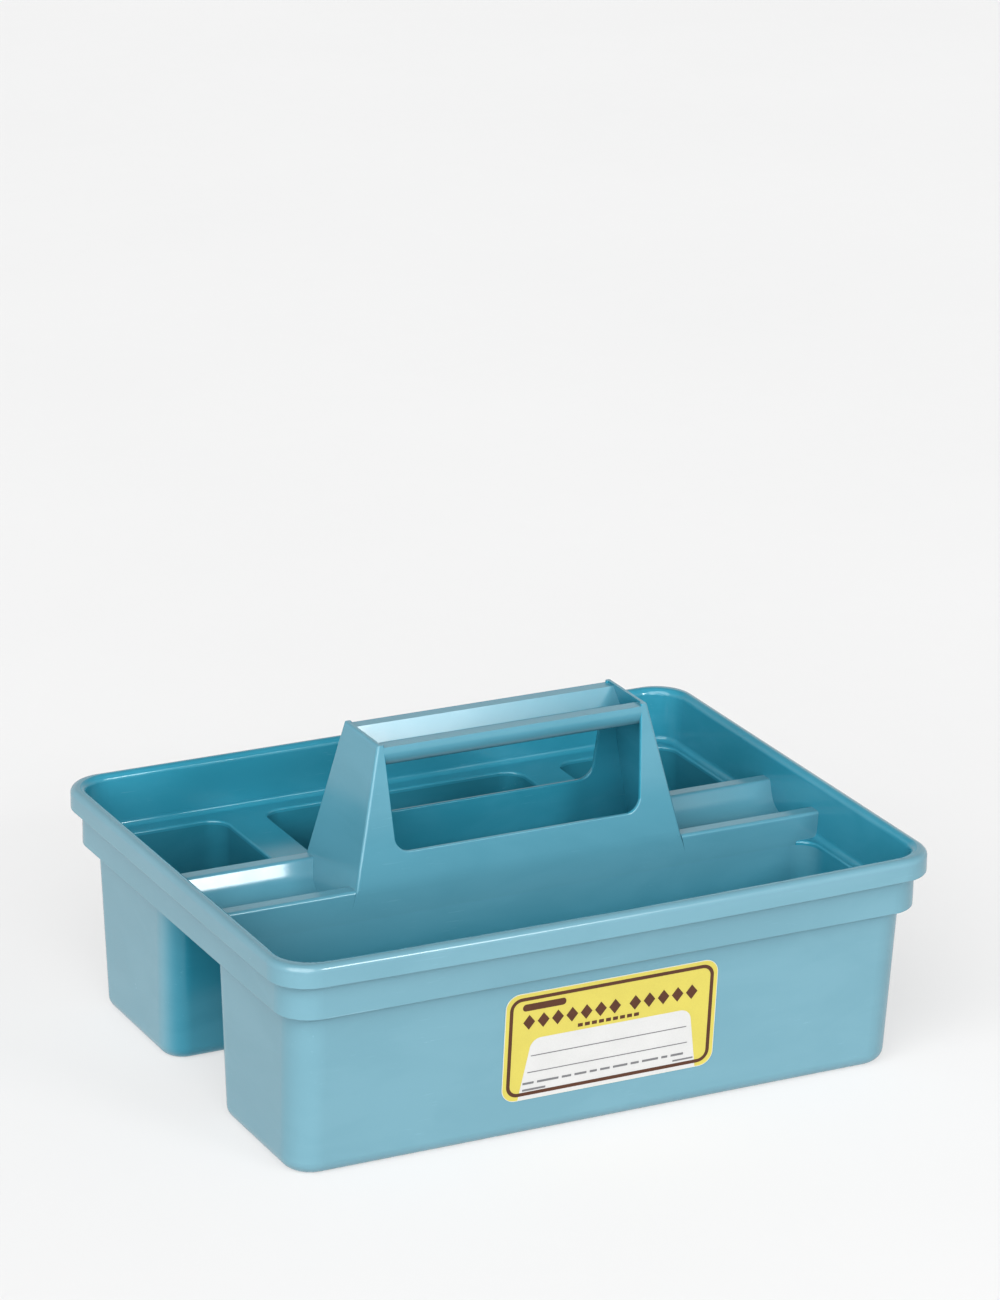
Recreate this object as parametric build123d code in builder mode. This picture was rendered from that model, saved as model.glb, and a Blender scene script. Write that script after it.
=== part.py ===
from build123d import *
import os
from math import atan2, degrees

# Cleaning caddy: an open carrying tray moulded in one shot of polypropylene, with a printed
# label on its front wall.  One large bin runs along the front and three cups stand along the
# back.  Between them a raised bridge spans a clear channel, and the hollow handle rises from it.
# The moulding is divided into its named sections along flat planes, so that every section is a
# plain closed solid and its neighbours meet it face to face.
#
# Frame: millimetres, +X to the right along the length, +Y to the back, +Z up.
# The origin is on the ground, under the middle of the rim.

# ---------------------------------------------------------------- driving dimensions
rim_length = 380.0            # rim, outside, along X
rim_width = 298.5             # rim, outside, along Y, measured at the corners
rim_corner = 22.0             # plan radius of the rim's corners
front_bow = 3.4               # how far the front rim bellies forward at its middle
step_bow = 0.3                # the same at step_level, where the front is nearly straight

rim_top = 124.6               # top of the rolled rim
rim_bottom = 112.2            # lower edge of the rolled rim
step_level = 92.3             # underside of the step where the walls draw in
ledge_top = 94.6              # ledge, deck and trough floor
ridge_top = 109.5             # flat tops of the two ridges
grip_top = 183.0              # crown of the grip's lips
overall_height = 184.4        # tops of the handle's end plates

wall = 3.0                    # walls and floors of the bin and the cups
web = 2.5                     # bridge, handle panels and end plates

# how far each outside face lies inside the rim's outline
rim_crown_width = 7.4
rim_skirt = 2.6
rim_groove_depth = 6.0        # hollow behind the rim's skirt
upper_wall_outer = 5.4
upper_wall_inner = 9.8        # at step_level; from here the inside runs straight to the rim
ledge_blend = 3.2             # concave rounding between the upper wall and the ledge
ledge_edge = 1.2              # rounding along the mouths of the bin and the cups
step_rounding = 0.8           # outer lower edges of the rim's skirt and of the upper wall
blend_step = 0.15             # lip left where a blend runs out against the upper wall
blunt_tip = 3.0               # length left off where a ledge's tip would run out to nothing

# lower walls: distance from the frame's axes at step_level and at the floor
end_wall = (178.4, 176.3)
front_wall = (-137.8, -130.6)
cup_back_wall = (131.0, 124.5)
floor_rounding = 7.5
bin_front_corner = 17.0
channel_corner = 14.0
cup_back_corner = 14.0

# the bridge and its channel, about the plane y = bridge_middle
bridge_middle = -2.5
bridge_half = 31.7            # bin side of the ridges
channel_half_low = 33.0       # channel side of the bins at the floor
ridge_width = 9.0
trough_half = 16.0            # half width of the trough's floor
ridge_rounding = 1.8
trough_rounding = 14.0

# the two crossbars between the cups
crossbar_inner = 78.6         # side of the centre cup's mouth
crossbar_outer = 102.6        # side of the end cups' mouths
cup_side_draft = 3.0          # how much the cups narrow down to the floor
crossbar_blend = 6.0          # concave rounding up to the rear ridge

# the handle: a hollow wedge of four leaning plates with a trough-shaped grip on top
handle_length_low = 193.2     # at ridge_top
handle_length_high = 159.0    # at overall_height
handle_half_high = 21.0       # half width at overall_height
window_bottom = 126.2
window_half_low = 71.9
window_half_high = 75.9
window_corner = 8.5
window_edge = 0.8
plate_edge = 1.6
panel_crease = 40.0           # easy bend where the panels start to lean
grip_bottom = 170.6
grip_lip_width = 7.4
grip_lip_slope = 0.42           # the lips' inner faces lean outward by this much per mm
grip_lip_rounding = 4.0
grip_floor = 173.6
grip_under_rounding = 9.0
grip_inside_rounding = 5.5

# the label
label_width = 123.6
label_height = 62.0
label_low = 21.3              # height of its lower edge
label_shift = 1.8             # its middle lies this far to the right of the caddy's
label_thickness = 0.3
label_corner = 8.0

os.makedirs("parts", exist_ok=True)


# ---------------------------------------------------------------- outlines
def rim_outline(level, inset, bow=front_bow):
    """The rim's plan outline at a level, drawn in by an inset, with its bowed front side."""
    half_x = rim_length / 2 - inset
    half_y = rim_width / 2 - inset
    with BuildSketch(Plane.XY.offset(level)) as outline:
        with BuildLine():
            ThreePointArc((-half_x, -half_y), (0, -half_y - bow), (half_x, -half_y))
            Polyline((half_x, -half_y), (half_x, half_y), (-half_x, half_y), (-half_x, -half_y))
        make_face()
        fillet(outline.vertices(), radius=rim_corner - inset / 2)
    return outline.sketch


def inner_outline(level, inset=0.0):
    """Plan outline of the inside of the upper wall and the rim, which run in one straight face."""
    rise = (level - step_level) / (rim_top - step_level)
    face = upper_wall_inner + (rim_crown_width - upper_wall_inner) * rise
    return rim_outline(level, face + inset, step_bow + (front_bow - step_bow) * rise)


def at_level(line, level):
    """Where a drafted wall, given at step_level and at the floor, stands at a level."""
    at_step, at_floor = line
    return at_floor + (at_step - at_floor) * level / step_level


def bin_outline(walls, level, inset, front_radius, back_radius):
    """Plan outline of a bin at a level; walls are its left, right, front and back lines."""
    left, right, front, back = [at_level(line, level) for line in walls]
    with BuildSketch(Plane.XY.offset(level)) as outline:
        with BuildLine():
            Polyline(
                (left + inset, front + inset),
                (right - inset, front + inset),
                (right - inset, back - inset),
                (left + inset, back - inset),
                close=True,
            )
        make_face()
        fillet(outline.vertices().sort_by(Axis.Y)[:2], radius=front_radius - inset)
        fillet(outline.vertices().sort_by(Axis.Y)[-2:], radius=back_radius - inset)
    return outline.sketch


def rounded_block(walls, low, high, inset, front_radius, back_radius, rounding):
    """A drafted block with rounded upright corners and a rounded foot."""
    with BuildPart() as block:
        sections = [
            bin_outline(walls, low, inset, front_radius, back_radius),
            bin_outline(walls, high, inset, front_radius, back_radius),
        ]
        loft(sections, ruled=True)
        fillet(block.edges().group_by(Axis.Z)[0], radius=rounding)
    return block.part


def open_bin(walls, front_radius, back_radius):
    """A thin-walled bin from the floor up to step_level."""
    with BuildPart() as shell:
        add(rounded_block(walls, 0, step_level, 0, front_radius, back_radius, floor_rounding))
        cavity = rounded_block(
            walls, wall, step_level, wall, front_radius, back_radius, floor_rounding - wall
        )
        add(cavity, mode=Mode.SUBTRACT)
    return shell.part


# ---------------------------------------------------------------- walls of the bins
channel_front = (bridge_middle - bridge_half + wall, bridge_middle - channel_half_low)
channel_back = (bridge_middle + bridge_half - wall, bridge_middle + channel_half_low)
left_end = (-end_wall[0], -end_wall[1])
inner_cup_side = (crossbar_inner + wall, crossbar_inner + wall - cup_side_draft)
outer_cup_side = (crossbar_outer - wall, crossbar_outer - wall + cup_side_draft)

front_bin_walls = (left_end, end_wall, front_wall, channel_front)
left_cup_walls = (left_end, (-outer_cup_side[0], -outer_cup_side[1]), channel_back, cup_back_wall)
centre_cup_walls = (
    (-inner_cup_side[0], -inner_cup_side[1]), inner_cup_side, channel_back, cup_back_wall
)
right_cup_walls = (outer_cup_side, end_wall, channel_back, cup_back_wall)
cup_walls = (left_cup_walls, centre_cup_walls, right_cup_walls)

# ---------------------------------------------------------------- rolled rim
groove_top = rim_bottom + rim_groove_depth
with BuildPart() as rim_groove:
    loft([rim_outline(z, rim_skirt) for z in (rim_bottom, groove_top)], ruled=True)
    loft(
        [rim_outline(z, upper_wall_outer) for z in (rim_bottom, groove_top)],
        ruled=True,
        mode=Mode.SUBTRACT,
    )

with BuildPart() as rim_band:
    loft([rim_outline(rim_bottom, 0), rim_outline(rim_top, 0)], ruled=True)
    loft([inner_outline(z) for z in (rim_bottom, rim_top)], ruled=True, mode=Mode.SUBTRACT)
    fillet(rim_band.edges().group_by(Axis.Z)[-1], radius=rim_crown_width / 2 - 0.1)
    skirt_face = rim_band.faces().filter_by(Plane.XY).sort_by(Axis.Z)[0]
    fillet(skirt_face.outer_wire().edges(), radius=step_rounding)
    add(rim_groove.part, mode=Mode.SUBTRACT)

# ---------------------------------------------------------------- upper wall
with BuildPart() as upper_wall:
    loft(
        [rim_outline(step_level, upper_wall_outer, step_bow), rim_outline(rim_bottom, upper_wall_outer)],
        ruled=True,
    )
    loft([inner_outline(z) for z in (step_level, rim_bottom)], ruled=True, mode=Mode.SUBTRACT)
    step_face = upper_wall.faces().filter_by(Plane.XY).sort_by(Axis.Z)[0]
    fillet(step_face.outer_wire().edges(), radius=step_rounding)


# ---------------------------------------------------------------- ledge and deck
def mouth(walls, front_radius, back_radius):
    """The opening of a bin or a cup through the ledge, a cutter with the bin's own draft."""
    with BuildPart() as cutter:
        sections = [
            bin_outline(walls, level, wall, front_radius, back_radius)
            for level in (step_level, ledge_top)
        ]
        loft(sections, ruled=True)
    return cutter.part


with BuildPart() as room_above_ledge:
    loft([inner_outline(z, blend_step) for z in (ledge_top, rim_bottom)], ruled=True)
    fillet(room_above_ledge.edges().group_by(Axis.Z)[0], radius=ledge_blend)

with BuildPart() as deck:
    loft([inner_outline(z) for z in (step_level, rim_bottom)], ruled=True)
    split(bisect_by=Plane.XY.offset(ledge_top + ledge_blend), keep=Keep.BOTTOM)
    add(room_above_ledge.part, mode=Mode.SUBTRACT)
    add(mouth(front_bin_walls, bin_front_corner, channel_corner), mode=Mode.SUBTRACT)
    for walls in cup_walls:
        add(mouth(walls, channel_corner, cup_back_corner), mode=Mode.SUBTRACT)
    ledge_face = deck.faces().filter_by(Plane.XY).sort_by(Axis.Z)[1]
    mouth_edges = [edge for wire in ledge_face.inner_wires() for edge in wire.edges()]
    fillet(mouth_edges, radius=ledge_edge)


def deck_piece(x_low, x_high, y_low, y_high):
    """The part of the deck inside a box."""
    with BuildPart() as piece:
        add(deck.part)
        with BuildSketch(Plane.XY.offset(step_level)):
            with Locations(((x_low + x_high) / 2, (y_low + y_high) / 2)):
                Rectangle(x_high - x_low, y_high - y_low)
        extrude(amount=ridge_top - step_level, mode=Mode.INTERSECT)
    return piece.part


ridge_front = bridge_middle - bridge_half
ridge_back = bridge_middle + bridge_half
deck_front = -rim_width / 2
deck_back = rim_width / 2
deck_end = rim_length / 2
corner_reach = channel_corner - wall    # how far the mouths' rounded corners reach
ledge_tip = at_level(end_wall, ledge_top) - channel_corner + blunt_tip

with BuildPart() as front_ledge:
    add(deck_piece(-deck_end, deck_end, deck_front, ridge_front))
    with BuildSketch(Plane.XY.offset(step_level)):
        with Locations((0, ridge_front)):
            Rectangle(2 * ledge_tip, 2 * corner_reach)
    extrude(amount=ridge_top - step_level, mode=Mode.SUBTRACT)

bar_back = at_level(cup_back_wall, ledge_top) - cup_back_corner
bar_middle = (crossbar_inner + crossbar_outer) / 2
bar_centre = (ridge_back + bar_back) / 2
with BuildPart() as rear_ledge:
    add(deck_piece(-deck_end, deck_end, ridge_back, deck_back))
    with BuildSketch(Plane.XY.offset(step_level)):
        with Locations((0, ridge_back)):
            Rectangle(2 * ledge_tip, 2 * corner_reach)
        with Locations((-bar_middle, bar_centre), (bar_middle, bar_centre)):
            bar_width = crossbar_outer - crossbar_inner + 2 * corner_reach
            Rectangle(bar_width, bar_back - ridge_back)
    extrude(amount=ridge_top - step_level, mode=Mode.SUBTRACT)


def crossbar(side):
    """One deck bar, with its concave rounding up to the rear ridge; side is -1 or +1."""
    near = side * (crossbar_inner - corner_reach + blunt_tip)
    far = side * (crossbar_outer + corner_reach - blunt_tip)
    with BuildPart() as bar:
        add(deck_piece(min(near, far), max(near, far), ridge_back, bar_back))
        with BuildSketch(Plane.YZ.offset(side * crossbar_inner)):
            with BuildLine():
                foot = (ridge_back + crossbar_blend, ledge_top)
                head = (ridge_back, ledge_top + crossbar_blend)
                Line((ridge_back, ledge_top), foot)
                RadiusArc(foot, head, crossbar_blend)
                Line(head, (ridge_back, ledge_top))
            make_face()
        extrude(amount=side * (crossbar_outer - crossbar_inner))
    return bar.part


with BuildPart() as left_crossbar:
    add(crossbar(-1))

with BuildPart() as right_crossbar:
    add(crossbar(1))

# ---------------------------------------------------------------- bins
with BuildPart() as front_bin:
    add(open_bin(front_bin_walls, bin_front_corner, channel_corner))

with BuildPart() as rear_left_cup:
    add(open_bin(left_cup_walls, channel_corner, cup_back_corner))

with BuildPart() as rear_centre_cup:
    add(open_bin(centre_cup_walls, channel_corner, cup_back_corner))

with BuildPart() as rear_right_cup:
    add(open_bin(right_cup_walls, channel_corner, cup_back_corner))

# ---------------------------------------------------------------- handle: panels and end plates
end_lean = (handle_length_low - handle_length_high) / 2 / (overall_height - ridge_top)
panel_lean = (bridge_half - handle_half_high) / (overall_height - ridge_top)


def end_face(level, inset=0.0):
    """Half length of the handle at a level, outside its end plates, drawn in by an inset."""
    return handle_length_high / 2 + end_lean * (overall_height - level) - inset


def panel_face(level):
    """Half width of the handle at a level above the ridges."""
    return handle_half_high + panel_lean * (overall_height - level)


def handle_panel(side):
    """Front (side -1) or rear (side +1) panel with its window, between the end plates."""
    with BuildPart() as panel:
        with BuildSketch(Plane.YZ) as profile:
            outside = [
                (bridge_middle + side * bridge_half, step_level),
                (bridge_middle + side * bridge_half, ridge_top),
                (bridge_middle + side * handle_half_high, overall_height),
            ]
            inside = [(y - side * web, z) for y, z in reversed(outside)]
            with BuildLine():
                Polyline(*outside, *inside, close=True)
            make_face()
            creases = profile.vertices().filter_by_position(Axis.Y, ridge_top - 1, ridge_top + 1)
            fillet(creases, radius=panel_crease)
        extrude(amount=handle_length_low, both=True)
        with BuildSketch(Plane.XZ):
            with BuildLine():
                Polyline(
                    (-end_face(step_level, web), step_level),
                    (end_face(step_level, web), step_level),
                    (end_face(overall_height, web), overall_height),
                    (-end_face(overall_height, web), overall_height),
                    close=True,
                )
            make_face()
        extrude(amount=rim_width, both=True, mode=Mode.INTERSECT)
        with BuildSketch(Plane.XZ) as window:
            with BuildLine():
                Polyline(
                    (-window_half_low, window_bottom),
                    (window_half_low, window_bottom),
                    (window_half_high, overall_height),
                    (-window_half_high, overall_height),
                    close=True,
                )
            make_face()
            fillet(window.vertices().sort_by(Axis.Y)[:2], radius=window_corner)
        extrude(amount=rim_width, both=True, mode=Mode.SUBTRACT)
        window_outline = panel.edges(Select.LAST).filter_by(
            lambda edge: edge.length > 1.5 * web and edge.center().Z < overall_height - web
        )
        fillet(window_outline, radius=window_edge)
    return panel.part


def end_plate(side):
    """Left (side -1) or right (side +1) end plate with rounded outer edges."""
    with BuildPart() as plate:
        with BuildSketch(Plane.XZ):
            with BuildLine():
                Polyline(
                    (side * end_face(step_level, web), step_level),
                    (side * end_face(step_level), step_level),
                    (side * end_face(overall_height), overall_height),
                    (side * end_face(overall_height, web), overall_height),
                    close=True,
                )
            make_face()
        extrude(amount=rim_width, both=True)
        with BuildSketch(Plane.YZ):
            with BuildLine():
                Polyline(
                    (bridge_middle - bridge_half, step_level),
                    (bridge_middle - bridge_half, ridge_top),
                    (bridge_middle - handle_half_high, overall_height),
                    (bridge_middle + handle_half_high, overall_height),
                    (bridge_middle + bridge_half, ridge_top),
                    (bridge_middle + bridge_half, step_level),
                    close=True,
                )
            make_face()
        extrude(amount=rim_length, both=True, mode=Mode.INTERSECT)
        broad_faces = plate.faces().sort_by(SortBy.AREA)[-2:].sort_by(Axis.X)
        outer_face = broad_faces[-1 if side > 0 else 0]
        free_edges = outer_face.edges().filter_by_position(
            Axis.Z, ridge_top + 1, overall_height + 1
        )
        fillet(free_edges, radius=plate_edge)
    return plate.part


with BuildPart() as handle_front_panel:
    add(handle_panel(-1))

with BuildPart() as handle_rear_panel:
    add(handle_panel(1))

with BuildPart() as handle_left_end:
    add(end_plate(-1))

with BuildPart() as handle_right_end:
    add(end_plate(1))

# ---------------------------------------------------------------- handle: grip
with BuildPart() as handle_grip:
    with BuildSketch(Plane.YZ.offset(-handle_length_low / 2)) as grip_profile:
        with BuildLine():
            lip_outside = panel_face(grip_top)
            foot_outside = panel_face(grip_bottom)
            lip_inside = lip_outside - grip_lip_width
            floor_half = lip_inside - grip_lip_slope * (grip_top - grip_floor)
            Polyline(
                (bridge_middle - lip_outside, grip_top),
                (bridge_middle - foot_outside, grip_bottom),
                (bridge_middle + foot_outside, grip_bottom),
                (bridge_middle + lip_outside, grip_top),
                (bridge_middle + lip_inside, grip_top),
                (bridge_middle + floor_half, grip_floor),
                (bridge_middle - floor_half, grip_floor),
                (bridge_middle - lip_inside, grip_top),
                close=True,
            )
        make_face()
        corners = grip_profile.vertices().group_by(Axis.Y)
        fillet(corners[0], radius=grip_under_rounding)
        fillet(corners[1], radius=grip_inside_rounding)
        fillet(corners[-1], radius=grip_lip_rounding)
    extrude(amount=handle_length_low)
    with BuildSketch(Plane.XZ):
        with BuildLine():
            Polyline(
                (-end_face(grip_bottom, web), grip_bottom),
                (end_face(grip_bottom, web), grip_bottom),
                (end_face(overall_height, web), overall_height),
                (-end_face(overall_height, web), overall_height),
                close=True,
            )
        make_face()
    extrude(amount=rim_width, both=True, mode=Mode.INTERSECT)
    add(handle_front_panel.part, mode=Mode.SUBTRACT)
    add(handle_rear_panel.part, mode=Mode.SUBTRACT)


# ---------------------------------------------------------------- bridge beside the handle
def trough(side):
    """The bridge from an end plate to the upper wall: two ridges with a trough between them."""
    slope = (bridge_half - ridge_width - trough_half) / (ridge_top - ledge_top)
    slope_thickness = web * (1 + slope**2) ** 0.5

    def under_slope(level):
        return trough_half + slope * (level - ledge_top) + slope_thickness

    under_ridge = ridge_top - web
    half = [
        (trough_half, ledge_top),
        (bridge_half - ridge_width, ridge_top),
        (bridge_half, ridge_top),
        (bridge_half, step_level),
        (bridge_half - web, step_level),
        (bridge_half - web, under_ridge),
        (under_slope(under_ridge), under_ridge),
        (under_slope(step_level), step_level),
    ]
    mirrored = [(-y, z) for y, z in reversed(half)]
    outline = [(bridge_middle + y, z) for y, z in half + mirrored]
    with BuildPart() as bridge:
        with BuildSketch(Plane.YZ) as profile:
            with BuildLine():
                Polyline(*outline, close=True)
            make_face()
            fillet(profile.vertices().group_by(Axis.Y)[-1], radius=ridge_rounding)
            floor_corners = profile.vertices().filter_by_position(
                Axis.Y, ledge_top - 0.01, ledge_top + 0.01
            )
            fillet(floor_corners, radius=trough_rounding)
        wall_middle = (rim_length - upper_wall_outer - upper_wall_inner) / 2
        extrude(amount=side * wall_middle)
        add(upper_wall.part, mode=Mode.SUBTRACT)
        with BuildSketch(Plane.XZ):
            with BuildLine():
                Polyline(
                    (side * end_face(step_level), step_level),
                    (side * rim_length / 2, step_level),
                    (side * rim_length / 2, overall_height),
                    (side * end_face(overall_height), overall_height),
                    close=True,
                )
            make_face()
        extrude(amount=rim_width, both=True, mode=Mode.INTERSECT)
    return bridge.part


with BuildPart() as left_trough:
    add(trough(-1))

with BuildPart() as right_trough:
    add(trough(1))

# ---------------------------------------------------------------- label
label_middle = label_low + label_height / 2
wall_lean = atan2(front_wall[1] - front_wall[0], step_level)
label_plane = Plane(
    origin=(label_shift, at_level(front_wall, label_middle), label_middle),
    x_dir=(1, 0, 0),
    z_dir=Vector(0, -1, 0).rotate(Axis.X, degrees(wall_lean)),
)
with BuildPart() as label_sheet:
    with BuildSketch(label_plane):
        RectangleRounded(label_width, label_height, label_corner)
    extrude(amount=label_thickness)

# ---------------------------------------------------------------- export
pieces = {
    "rim_band": rim_band,
    "upper_wall": upper_wall,
    "front_ledge": front_ledge,
    "rear_ledge": rear_ledge,
    "left_crossbar": left_crossbar,
    "right_crossbar": right_crossbar,
    "front_bin": front_bin,
    "rear_left_cup": rear_left_cup,
    "rear_centre_cup": rear_centre_cup,
    "rear_right_cup": rear_right_cup,
    "left_trough": left_trough,
    "right_trough": right_trough,
    "handle_front_panel": handle_front_panel,
    "handle_rear_panel": handle_rear_panel,
    "handle_left_end": handle_left_end,
    "handle_right_end": handle_right_end,
    "handle_grip": handle_grip,
    "label_sheet": label_sheet,
}
for name, piece in pieces.items():
    piece.part.label = name
    export_step(piece.part, f"parts/{name}.step")
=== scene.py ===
import math

import bmesh
import bpy
from mathutils import Matrix, Vector


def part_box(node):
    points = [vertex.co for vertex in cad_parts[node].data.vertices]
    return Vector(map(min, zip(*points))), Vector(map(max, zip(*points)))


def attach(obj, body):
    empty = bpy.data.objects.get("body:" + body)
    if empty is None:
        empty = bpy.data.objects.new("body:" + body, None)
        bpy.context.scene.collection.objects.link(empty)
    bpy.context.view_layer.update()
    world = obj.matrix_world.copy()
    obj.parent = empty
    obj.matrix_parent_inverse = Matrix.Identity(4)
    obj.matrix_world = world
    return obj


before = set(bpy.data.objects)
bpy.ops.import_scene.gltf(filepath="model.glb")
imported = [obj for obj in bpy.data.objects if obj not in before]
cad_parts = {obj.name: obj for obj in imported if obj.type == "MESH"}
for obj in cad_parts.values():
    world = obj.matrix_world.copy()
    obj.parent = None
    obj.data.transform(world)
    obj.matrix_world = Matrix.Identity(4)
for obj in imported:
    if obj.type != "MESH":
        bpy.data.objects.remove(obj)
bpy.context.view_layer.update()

MM = 0.001

# ---------------------------------------------------------------- camera
AZIMUTH = math.radians(26.73)
ELEVATION = math.radians(19.38)
ROLL = math.radians(0.72)
VIEW_MIDDLE = Vector((0, 0, 0.060))
VIEW_DISTANCE = 2.83585          # from the middle of the view, along the view's axis
VIEW_ASIDE = 0.00445
VIEW_ABOVE = 0.14944
SENSOR = 36.0                    # millimetres, like the lens
LENS = 145.69


def make_camera():
    back = Vector((
        -math.sin(AZIMUTH) * math.cos(ELEVATION),
        -math.cos(AZIMUTH) * math.cos(ELEVATION),
        math.sin(ELEVATION),
    ))
    right = Vector((0, 0, 1)).cross(back).normalized()
    up = back.cross(right)
    x_axis = right * math.cos(ROLL) + up * math.sin(ROLL)
    y_axis = up * math.cos(ROLL) - right * math.sin(ROLL)
    place = VIEW_MIDDLE + x_axis * VIEW_ASIDE + y_axis * VIEW_ABOVE + back * VIEW_DISTANCE
    data = bpy.data.cameras.new("camera")
    data.sensor_width = SENSOR
    data.lens = LENS
    data.clip_end = 100
    camera = bpy.data.objects.new("camera", data)
    turn = Matrix((x_axis, y_axis, back)).transposed().to_4x4()
    camera.matrix_world = Matrix.Translation(place) @ turn
    bpy.context.scene.collection.objects.link(camera)
    bpy.context.scene.camera = camera


make_camera()


# ---------------------------------------------------------------- node helpers
class Nodes:
    """A new material with short calls for adding and linking its nodes."""

    def __init__(self, name):
        self.material = bpy.data.materials.new(name)
        self.material.use_nodes = True
        self.tree = self.material.node_tree
        self.tree.nodes.clear()
        self.output = self.tree.nodes.new("ShaderNodeOutputMaterial")
        self.shader = self.tree.nodes.new("ShaderNodeBsdfPrincipled")
        self.tree.links.new(self.shader.outputs[0], self.output.inputs[0])

    def link(self, value, socket):
        if isinstance(value, bpy.types.NodeSocket):
            self.tree.links.new(value, socket)
        else:
            socket.default_value = value

    def coordinates(self):
        return self.tree.nodes.new("ShaderNodeTexCoord").outputs["Object"]

    def facing(self):
        return self.tree.nodes.new("ShaderNodeTexCoord").outputs["Normal"]

    def stretch(self, vector, scale, turn=(0, 0, 0)):
        node = self.tree.nodes.new("ShaderNodeMapping")
        self.link(vector, node.inputs["Vector"])
        node.inputs["Scale"].default_value = scale
        node.inputs["Rotation"].default_value = turn
        return node.outputs[0]

    def noise(self, vector, scale, detail=2.0, roughness=0.5, distortion=0.0):
        node = self.tree.nodes.new("ShaderNodeTexNoise")
        self.link(vector, node.inputs["Vector"])
        node.inputs["Scale"].default_value = scale
        node.inputs["Detail"].default_value = detail
        node.inputs["Roughness"].default_value = roughness
        node.inputs["Distortion"].default_value = distortion
        return node.outputs["Fac"]

    def remap(self, value, low, high, to_low=0.0, to_high=1.0, smooth=False):
        node = self.tree.nodes.new("ShaderNodeMapRange")
        if smooth:
            node.interpolation_type = "SMOOTHSTEP"
        self.link(value, node.inputs["Value"])
        node.inputs["From Min"].default_value = low
        node.inputs["From Max"].default_value = high
        node.inputs["To Min"].default_value = to_low
        node.inputs["To Max"].default_value = to_high
        return node.outputs[0]

    def math(self, operation, a, b):
        node = self.tree.nodes.new("ShaderNodeMath")
        node.operation = operation
        self.link(a, node.inputs[0])
        self.link(b, node.inputs[1])
        return node.outputs[0]

    def vector_math(self, operation, a, b=None):
        node = self.tree.nodes.new("ShaderNodeVectorMath")
        node.operation = operation
        self.link(a, node.inputs[0])
        if b is not None:
            self.link(b, node.inputs[1])
        return node.outputs["Value"] if operation == "DOT_PRODUCT" else node.outputs[0]

    def mix(self, factor, a, b):
        node = self.tree.nodes.new("ShaderNodeMix")
        node.data_type = "RGBA"
        self.link(factor, node.inputs["Factor"])
        self.link(a, node.inputs[6])
        self.link(b, node.inputs[7])
        return node.outputs[2]

    def parts_of(self, vector):
        node = self.tree.nodes.new("ShaderNodeSeparateXYZ")
        self.link(vector, node.inputs[0])
        return node.outputs

    def bump(self, height, strength, distance, normal=None):
        node = self.tree.nodes.new("ShaderNodeBump")
        self.link(height, node.inputs["Height"])
        node.inputs["Strength"].default_value = strength
        node.inputs["Distance"].default_value = distance
        if normal is not None:
            self.link(normal, node.inputs["Normal"])
        return node.outputs[0]

    def set(self, color, rough):
        self.link(color, self.shader.inputs["Base Color"])
        self.link(rough, self.shader.inputs["Roughness"])


# ---------------------------------------------------------------- moulded plastic
# the outside colours are paler, a painted sheen; the inside colours are darker and more saturated,
# painted shade
OUTSIDE_SHEEN_DEEP = (0.111, 0.226, 0.273, 1)
OUTSIDE_SHEEN_PALE = (0.118, 0.236, 0.284, 1)
INSIDE_SHADE_DEEP = (0.028, 0.196, 0.268, 1)
INSIDE_SHADE_PALE = (0.036, 0.212, 0.288, 1)
PLASTIC_SCUFF = (0.20, 0.38, 0.45, 1)
HANDLE_SHADE_SHARE = 0.45              # the handle and troughs get part of the inside polish and painted shade
FLOOR_SHADE_SHARE = 0.6                # how much painted shade and polish the floors of the bin and cups get
CUP_SHADE = 0.78                  # the small cups get darker painted shade than the wide bin
POLISH = 0.04                    # how much smoother the inside is
HAIR_SHARE = 0.22                # how much a hair scratch shows beside foot wear
WEAR_TINT = 0.6
WEAR_ROUGHNESS = 0.22
CHANNEL_BEHIND = 1               # the under-channel lies behind the bin, toward +Y
CHANNEL_AHEAD = -1               # and in front of the cups
HANDLE_NODES = ("handle_front_panel", "handle_rear_panel", "handle_left_end", "handle_right_end")


def toned(color, tone):
    return tuple(c * tone for c in color[:3]) + (1,)


def middle_of(names):
    """Plan middle of the box round some nodes."""
    lows, highs = zip(*(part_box(name) for name in names))
    return [(min(c[i] for c in lows) + max(c[i] for c in highs)) / 2 for i in (0, 1)]


def turned_inward(n, at, middle, floor_shade_share=0.0):
    """One on faces turned toward the upright axis at middle, zero on faces turned away."""
    facing = n.facing()
    flat = n.vector_math("MULTIPLY", at, (1, 1, 0))
    outward = n.vector_math("NORMALIZE", n.vector_math("SUBTRACT", flat, (*middle, 0)))
    turned = n.vector_math("DOT_PRODUCT", facing, outward)
    # upward-facing floors inside a bin or cup get painted shade too
    up = n.math("MULTIPLY", n.parts_of(facing)[2], floor_shade_share)
    return n.remap(n.math("SUBTRACT", up, turned), -0.06, 0.10, smooth=True)


def turned_to_channel(n, side):
    """One on faces turned to the channel under the bridge, which get the inside colour as painted
    shadow of the bin; side is the sign of y.
    """
    sideways = n.math("MULTIPLY", n.parts_of(n.facing())[1], side)
    return n.remap(sideways, 0.25, 0.95, smooth=True)


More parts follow.
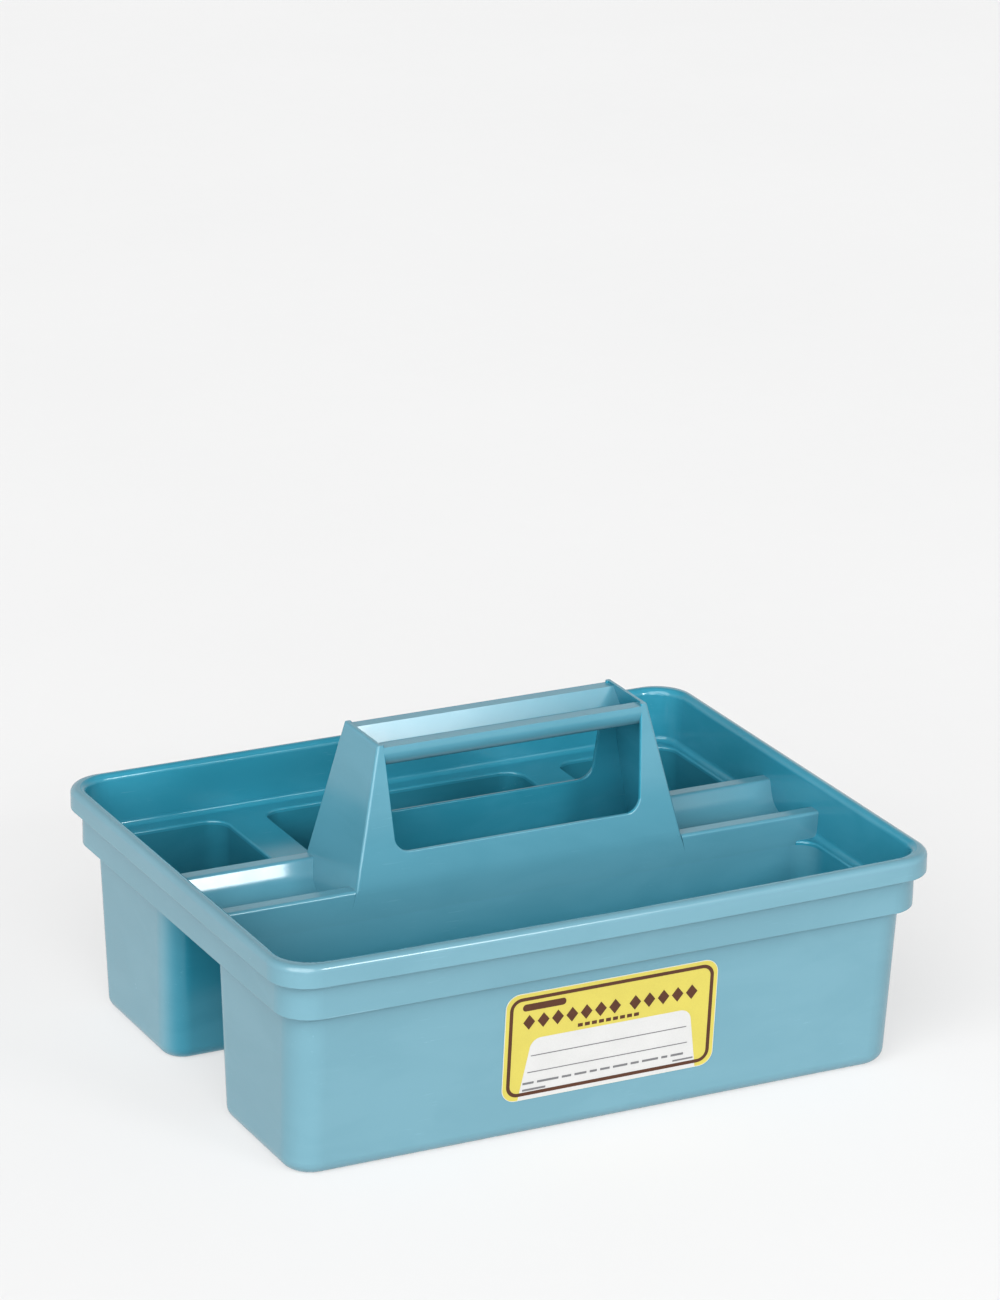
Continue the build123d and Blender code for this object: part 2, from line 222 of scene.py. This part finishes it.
def fade_into_handle(n, at, rear_wall):
    """One, falling to the handle's share of painted shade and polish where the bin's rear wall runs up
    into the handle.
    """
    across = n.remap(n.parts_of(at)[1], rear_wall - 22 * MM, rear_wall - 8 * MM, smooth=True)
    upward = n.remap(n.parts_of(at)[2], 45 * MM, 98 * MM, smooth=True)
    climb = n.math("MULTIPLY", across, upward)
    return n.math("SUBTRACT", 1.0, n.math("MULTIPLY", climb, 1 - HANDLE_SHADE_SHARE))


# the handle and troughs take part of the inside colour as painted shade
def half_shade_and_polish(n, at):
    return HANDLE_SHADE_SHARE


# the decks take the whole inside colour as painted shade
def deck_shade_and_polish(n, at):
    return 1.0


# the inner faces of the rim and upper wall take the inside colour as painted shade
def shell_shade_and_polish(n, at):
    return turned_inward(n, at, (0, 0))


# the handle's inner faces take all of the inside colour as painted shade, its outer faces part of it
def handle_shade_and_polish(n, at):
    return n.math("MAXIMUM", HANDLE_SHADE_SHARE, turned_inward(n, at, middle_of(HANDLE_NODES)))


def walled_shade_and_polish(n, at, name, channel_side):
    """Share of inside polish and painted shade between the walls of one bin or cup and where it faces
    the channel.
    """
    between_walls = turned_inward(n, at, middle_of([name]), FLOOR_SHADE_SHARE)
    return n.math("MAXIMUM", between_walls, turned_to_channel(n, channel_side))


def bin_shade_and_polish(n, at):
    rear_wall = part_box("front_bin")[1].y
    walled = walled_shade_and_polish(n, at, "front_bin", CHANNEL_BEHIND)
    return n.math("MINIMUM", walled, fade_into_handle(n, at, rear_wall))


def hair_scratches(n, at):
    streaks = n.noise(n.stretch(at, (18, 260, 260), (0.1, 0.2, 0.3)), 4, 2, 0.6)
    patches = n.noise(at, 22, 2)
    return n.math("MULTIPLY", n.remap(streaks, 0.66, 0.72), n.remap(patches, 0.48, 0.62))


def foot_wear(n, at):
    near_foot = n.remap(n.parts_of(at)[2], 2.4 * MM, 0.4 * MM)
    return n.math("MULTIPLY", near_foot, n.remap(n.noise(at, 160, 4, 0.65), 0.44, 0.60))


def moulded_plastic(name, shade_and_polish, tone=1.0):
    """Glossy polypropylene, satin outside and polished inside, with a painted sheen in the paler
    outside colour and painted shade in the deeper inside colour.

    The function passed in gives the share of the inside colour and polish at each place. Over that lie
    faint flow clouds, slow waviness, orange peel, hair scratches and foot wear.
    """
    n = Nodes(name)
    at = n.coordinates()
    inside = shade_and_polish(n, at)
    clouds = n.noise(n.stretch(at, (1, 1, 2.5)), 14, 3, 0.55, 0.6)
    cloud = n.remap(clouds, 0.35, 0.65, smooth=True)
    # the inside share mixes in the darker colour as painted shade, the rest takes the paler colour with
    # its painted sheen
    ground = n.mix(
        inside,
        n.mix(cloud, OUTSIDE_SHEEN_DEEP, OUTSIDE_SHEEN_PALE),
        n.mix(cloud, toned(INSIDE_SHADE_DEEP, tone), toned(INSIDE_SHADE_PALE, tone)),
    )
    hair = hair_scratches(n, at)
    wear = n.math("MAXIMUM", n.math("MULTIPLY", hair, HAIR_SHARE), foot_wear(n, at))
    blotches = n.remap(n.noise(at, 35, 4, 0.6), 0.3, 0.7, 0.17, 0.24)
    polished = n.math("SUBTRACT", blotches, n.math("MULTIPLY", inside, POLISH))
    n.set(
        color=n.mix(n.math("MULTIPLY", wear, WEAR_TINT), ground, PLASTIC_SCUFF),
        rough=n.math("ADD", polished, n.math("MULTIPLY", wear, WEAR_ROUGHNESS)),
    )
    waviness = n.bump(n.noise(at, 16, 1, 0.4), 0.22, 0.8 * MM)
    orange_peel = n.bump(n.noise(at, 900, 2, 0.5), 0.10, 0.06 * MM, waviness)
    scratched = n.bump(n.math("SUBTRACT", 1.0, hair), 0.10, 0.03 * MM, orange_peel)
    n.link(scratched, n.shader.inputs["Normal"])
    n.shader.inputs["IOR"].default_value = 1.50
    return n.material


def cup_plastic(name):
    """Each cup's inside is found from its own middle."""
    # the cups get the inside colour darkened further as painted shade
    return moulded_plastic(
        "moulded_plastic_" + name,
        lambda n, at: walled_shade_and_polish(n, at, name, CHANNEL_AHEAD),
        CUP_SHADE,
    )


HALF_SHADE_PLASTIC = moulded_plastic("moulded_plastic_half_shade", half_shade_and_polish)
DECK_PLASTIC = moulded_plastic("moulded_plastic_deck", deck_shade_and_polish)
SHELL_PLASTIC = moulded_plastic("moulded_plastic_shell", shell_shade_and_polish)
HANDLE_PLASTIC = moulded_plastic("moulded_plastic_handle", handle_shade_and_polish)
BIN_PLASTIC = moulded_plastic("moulded_plastic_bin", bin_shade_and_polish)


# ---------------------------------------------------------------- label inks
def printed(name, color, rough=0.38, shade=0.94):
    """Ink on a satin vinyl sheet: mottled tone and a faint emboss."""
    n = Nodes(name)
    at = n.coordinates()
    grain = n.noise(at, 1400, 3, 0.6)
    cloud = n.noise(at, 60, 2, 0.5)
    mottle = n.math("ADD", n.math("MULTIPLY", grain, 0.6), n.math("MULTIPLY", cloud, 0.4))
    n.set(
        color=n.mix(n.remap(mottle, 0.35, 0.65, smooth=True), toned(color, shade), color),
        rough=n.remap(n.noise(at, 90, 3, 0.6), 0.3, 0.7, rough - 0.05, rough + 0.06),
    )
    n.link(n.bump(grain, 0.12, 0.04 * MM), n.shader.inputs["Normal"])
    n.shader.inputs["IOR"].default_value = 1.46
    return n.material


SHEET_MATERIAL = printed("label_vinyl", (0.455, 0.460, 0.40, 1))
YELLOW_MATERIAL = printed("label_yellow_ink", (0.415, 0.362, 0.078, 1))
BROWN_MATERIAL = printed("label_brown_ink", (0.070, 0.024, 0.010, 1), 0.42, 0.8)
WHITE_MATERIAL = printed("label_writing_panel", (0.425, 0.425, 0.42, 1), 0.45)
GREY_MATERIAL = printed("label_grey_ink", (0.13, 0.13, 0.135, 1), 0.45)


def material_for(name):
    if name == "label_sheet":
        return SHEET_MATERIAL
    if name in ("rim_band", "upper_wall"):
        return SHELL_PLASTIC
    if name in HANDLE_NODES:
        return HANDLE_PLASTIC
    if name.endswith(("_ledge", "_crossbar")):
        return DECK_PLASTIC
    if name == "front_bin":
        return BIN_PLASTIC
    if name.endswith("_cup"):
        return cup_plastic(name)
    return HALF_SHADE_PLASTIC


for name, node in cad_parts.items():
    node.data.materials.clear()
    node.data.materials.append(material_for(name))

# ---------------------------------------------------------------- label frame
WALL_HEIGHT = 92.3 * MM          # the front wall, from the foot to the step
WALL_OVERHANG = 7.2 * MM         # how far its top stands out over its foot
LABEL_THICKNESS = 0.3 * MM
INK = 0.02 * MM
label_lean = math.atan2(WALL_OVERHANG, WALL_HEIGHT)
label_low, label_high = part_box("label_sheet")
label_width = label_high.x - label_low.x
label_rise = label_high.z - label_low.z - LABEL_THICKNESS * math.sin(label_lean)
label_height = label_rise / math.cos(label_lean)
LABEL_RIGHT = Vector((1, 0, 0))
LABEL_UP = Vector((0, -math.sin(label_lean), math.cos(label_lean)))
LABEL_OUT = Vector((0, -math.cos(label_lean), -math.sin(label_lean)))
LABEL_MIDDLE = Vector((
    (label_low.x + label_high.x) / 2,
    label_high.y - label_height / 2 * math.sin(label_lean),
    label_high.z - label_height / 2 * math.cos(label_lean),
)) + LABEL_OUT * LABEL_THICKNESS


def arc(centre, radius, start, end, steps=10):
    """Points on an arc, angles in degrees."""
    turns = [math.radians(start + (end - start) * i / steps) for i in range(steps + 1)]
    return [(centre[0] + radius * math.cos(t), centre[1] + radius * math.sin(t)) for t in turns]


def rounded(left, right, bottom, top, radius):
    """Rounded rectangle, anticlockwise."""
    return (
        arc((right - radius, top - radius), radius, 0, 90)
        + arc((left + radius, top - radius), radius, 90, 180)
        + arc((left + radius, bottom + radius), radius, 180, 270)
        + arc((right - radius, bottom + radius), radius, 270, 360)
    )


def bar(left, right, middle, width):
    """A straight bar, anticlockwise."""
    low_edge, high_edge = middle - width / 2, middle + width / 2
    return [(left, low_edge), (right, low_edge), (right, high_edge), (left, high_edge)]


def lozenge(u, v, width, height):
    return [(u, v - height / 2), (u + width / 2, v), (u, v + height / 2), (u - width / 2, v)]


def flat_mesh(name, outlines):
    """Prisms of one ink's thickness, lying flat about the origin; outlines are in millimetres."""
    curve = bpy.data.curves.new(name, "CURVE")
    curve.dimensions = "2D"
    curve.fill_mode = "BOTH"
    curve.extrude = INK / 2
    for outline in outlines:
        spline = curve.splines.new("POLY")
        spline.points.add(len(outline) - 1)
        for point, (u, v) in zip(spline.points, outline):
            point.co = (u * MM, v * MM, 0, 1)
        spline.use_cyclic_u = True
    flat = bpy.data.objects.new(name + "_flat", curve)
    bpy.context.scene.collection.objects.link(flat)
    bpy.context.view_layer.update()
    mesh = bpy.data.meshes.new_from_object(flat)
    bpy.data.objects.remove(flat)
    return mesh


def print_layer(name, outlines, material, layer):
    """One ink on the label; an outline inside another is a hole."""
    mesh = flat_mesh(name, outlines)
    turn = Matrix((LABEL_RIGHT, LABEL_UP, LABEL_OUT)).transposed().to_4x4()
    lift = LABEL_OUT * (INK * (layer - 0.5))
    mesh.transform(Matrix.Translation(LABEL_MIDDLE + lift) @ turn)
    weld = bmesh.new()
    weld.from_mesh(mesh)
    bmesh.ops.remove_doubles(weld, verts=weld.verts, dist=1e-7)
    bmesh.ops.recalc_face_normals(weld, faces=weld.faces)
    weld.to_mesh(mesh)
    weld.free()
    mesh.name = name
    mesh.materials.clear()
    mesh.materials.append(material)
    piece = bpy.data.objects.new(name, mesh)
    bpy.context.scene.collection.objects.link(piece)
    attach(piece, "root")


# ---------------------------------------------------------------- label print
# millimetres from the label's middle
HALF_W = label_width / 2 / MM
HALF_H = label_height / 2 / MM
SHEET_EDGE = 0.35                # bare vinyl round the ground
GROUND_ROUND = 7.5
KEY_OUTER_INSET = 2.4
KEY_INNER_INSET = 4.4
KEY_OUTER_ROUND = 6.8
KEY_INNER_ROUND = 4.8
PANEL_FOOT = (-52.5, 51.5)       # left and right, wider than the top
PANEL_SHOULDERS = (-47.0, 47.3)
PANEL_TOP = 4.1
PANEL_ROUND = 6.5
SHOULDER_LEAN = 4                # degrees
RULE_WIDTH = 0.6
TITLE_HEIGHT = 14.0
TITLE_PITCH = 8.3
TITLE_WORDS = ((-48.0, 7), (13.6, 5))
DASH_LENGTHS = (6.5, 12.5, 5.5, 7.0, 4.2, 5.6, 8.5, 4.8, 9.5, 3.6, 7.4)
DASH_GAP = 1.9
SMALL_PRINT_LEFT = -50.0


def inset(distance, radius):
    """The label's outline, drawn in by a distance."""
    return rounded(-HALF_W + distance, HALF_W - distance, -HALF_H + distance, HALF_H - distance, radius)


def writing_panel():
    """A panel that stands on the label's foot, with leaning sides and round shoulders."""
    foot = -HALF_H + SHEET_EDGE
    left, right = PANEL_SHOULDERS
    shoulder = PANEL_TOP - PANEL_ROUND
    return (
        [(PANEL_FOOT[0], foot), (PANEL_FOOT[1], foot)]
        + arc((right - PANEL_ROUND, shoulder), PANEL_ROUND, SHOULDER_LEAN, 90)
        + arc((left + PANEL_ROUND, shoulder), PANEL_ROUND, 90, 180 - SHOULDER_LEAN)
    )


def ornament():
    """Lozenges in two groups, with a rounded bar above, where a title would be."""
    shapes = []
    for first, count in TITLE_WORDS:
        for i in range(count):
            shapes.append(lozenge(first + i * TITLE_PITCH, TITLE_HEIGHT, 6.9, 8.6))
    return shapes + [rounded(-52, -27, 20.6, 24.6, 1.9)]


def small_print():
    """A line of uneven dashes, with two short bars below it."""
    dashes = []
    start = SMALL_PRINT_LEFT
    for length in DASH_LENGTHS:
        dashes.append(bar(start, start + length, -21.6, 1.3))
        start += length + DASH_GAP
    return dashes + [bar(SMALL_PRINT_LEFT, -36.5, -25.4, 1.2), bar(38.0, 50.0, -25.0, 1.0)]


keyline = [inset(KEY_OUTER_INSET, KEY_OUTER_ROUND), inset(KEY_INNER_INSET, KEY_INNER_ROUND)]
rules = [bar(-46, 45, -5.9, RULE_WIDTH), bar(-47.5, 46, -15.4, RULE_WIDTH)]
dashed_line = [bar(-19.5 + i * 4.1, -16.6 + i * 4.1, 6.9, 2.0) for i in range(9)]
print_layer("label_ground", [inset(SHEET_EDGE, GROUND_ROUND)], YELLOW_MATERIAL, 1)
print_layer("label_writing_panel", [writing_panel()], WHITE_MATERIAL, 2)
print_layer("label_keyline", keyline, BROWN_MATERIAL, 3)
print_layer("label_rules", rules, GREY_MATERIAL, 3)
print_layer("label_ornament", ornament(), BROWN_MATERIAL, 2)
print_layer("label_dashes", dashed_line, BROWN_MATERIAL, 2)
print_layer("label_small_print", small_print(), GREY_MATERIAL, 3)

# ---------------------------------------------------------------- floor and light
FLOOR_HALF = 30
FLOOR_DROP = 0.1 * MM            # keeps the floor clear of the flat foot
FLOOR_GLOW = 0.47
HORIZON = 0.85
ZENITH = 0.15
AIM_POINT = Vector((0, 0, 0.1))


def make_floor():
    mesh = bpy.data.meshes.new("floor")
    corners = ((-1, -1), (1, -1), (1, 1), (-1, 1))
    mesh.from_pydata(
        [(x * FLOOR_HALF, y * FLOOR_HALF, -FLOOR_DROP) for x, y in corners],
        [],
        [(0, 1, 2, 3)],
    )
    n = Nodes("floor_paint")
    at = n.coordinates()
    n.set(
        color=n.mix(n.noise(at, 3, 3), (0.26, 0.26, 0.26, 1), (0.28, 0.28, 0.28, 1)),
        rough=n.remap(n.noise(at, 40, 3), 0, 1, 0.75, 0.9),
    )
    n.shader.inputs["Specular IOR Level"].default_value = 0.1
    n.shader.inputs["Emission Color"].default_value = (1, 1, 1, 1)
    n.shader.inputs["Emission Strength"].default_value = FLOOR_GLOW
    mesh.materials.append(n.material)
    floor = bpy.data.objects.new("floor", mesh)
    bpy.context.scene.collection.objects.link(floor)


def aim(light, toward):
    light.rotation_mode = "QUATERNION"
    light.rotation_quaternion = Vector(toward).to_track_quat("Z", "Y")
    bpy.context.scene.collection.objects.link(light)


def soft_light(name, place, width, height, power):
    """A rectangular softbox at a place, facing the object."""
    data = bpy.data.lights.new(name, "AREA")
    data.shape = "RECTANGLE"
    data.size = width
    data.size_y = height
    data.energy = power
    light = bpy.data.objects.new(name, data)
    light.location = place
    aim(light, Vector(place) - AIM_POINT)


def daylight(name, toward, strength, angle):
    """A wide soft source far away, which lights the whole floor evenly."""
    data = bpy.data.lights.new(name, "SUN")
    data.energy = strength
    data.angle = math.radians(angle)
    aim(bpy.data.objects.new(name, data), toward)


def make_sky():
    """A white surround, bright near the horizon and dim overhead."""
    world = bpy.data.worlds.new("studio")
    bpy.context.scene.world = world
    world.use_nodes = True
    tree = world.node_tree
    sky = tree.nodes["Background"]
    height = tree.nodes.new("ShaderNodeSeparateXYZ")
    ramp = tree.nodes.new("ShaderNodeMapRange")
    ramp.interpolation_type = "SMOOTHSTEP"
    direction = tree.nodes.new("ShaderNodeTexCoord").outputs["Generated"]
    tree.links.new(direction, height.inputs[0])
    tree.links.new(height.outputs[2], ramp.inputs["Value"])
    ramp.inputs["From Min"].default_value = 0.30
    ramp.inputs["From Max"].default_value = 0.75
    ramp.inputs["To Min"].default_value = HORIZON
    ramp.inputs["To Max"].default_value = ZENITH
    sky.inputs[0].default_value = (1, 1, 1, 1)
    tree.links.new(ramp.outputs[0], sky.inputs[1])


make_floor()
make_sky()
soft_light("key", place=(0.60, -2.2, 1.16), width=0.57, height=0.33, power=18)
soft_light("grip_light", place=(0.94, -2.05, 1.16), width=0.20, height=0.26, power=2.4)
daylight("day", toward=(-0.78, -0.88, 0.66), strength=4.2, angle=70)
bpy.context.scene.view_settings.view_transform = "Standard"
bpy.context.scene.view_settings.look = "Medium High Contrast"
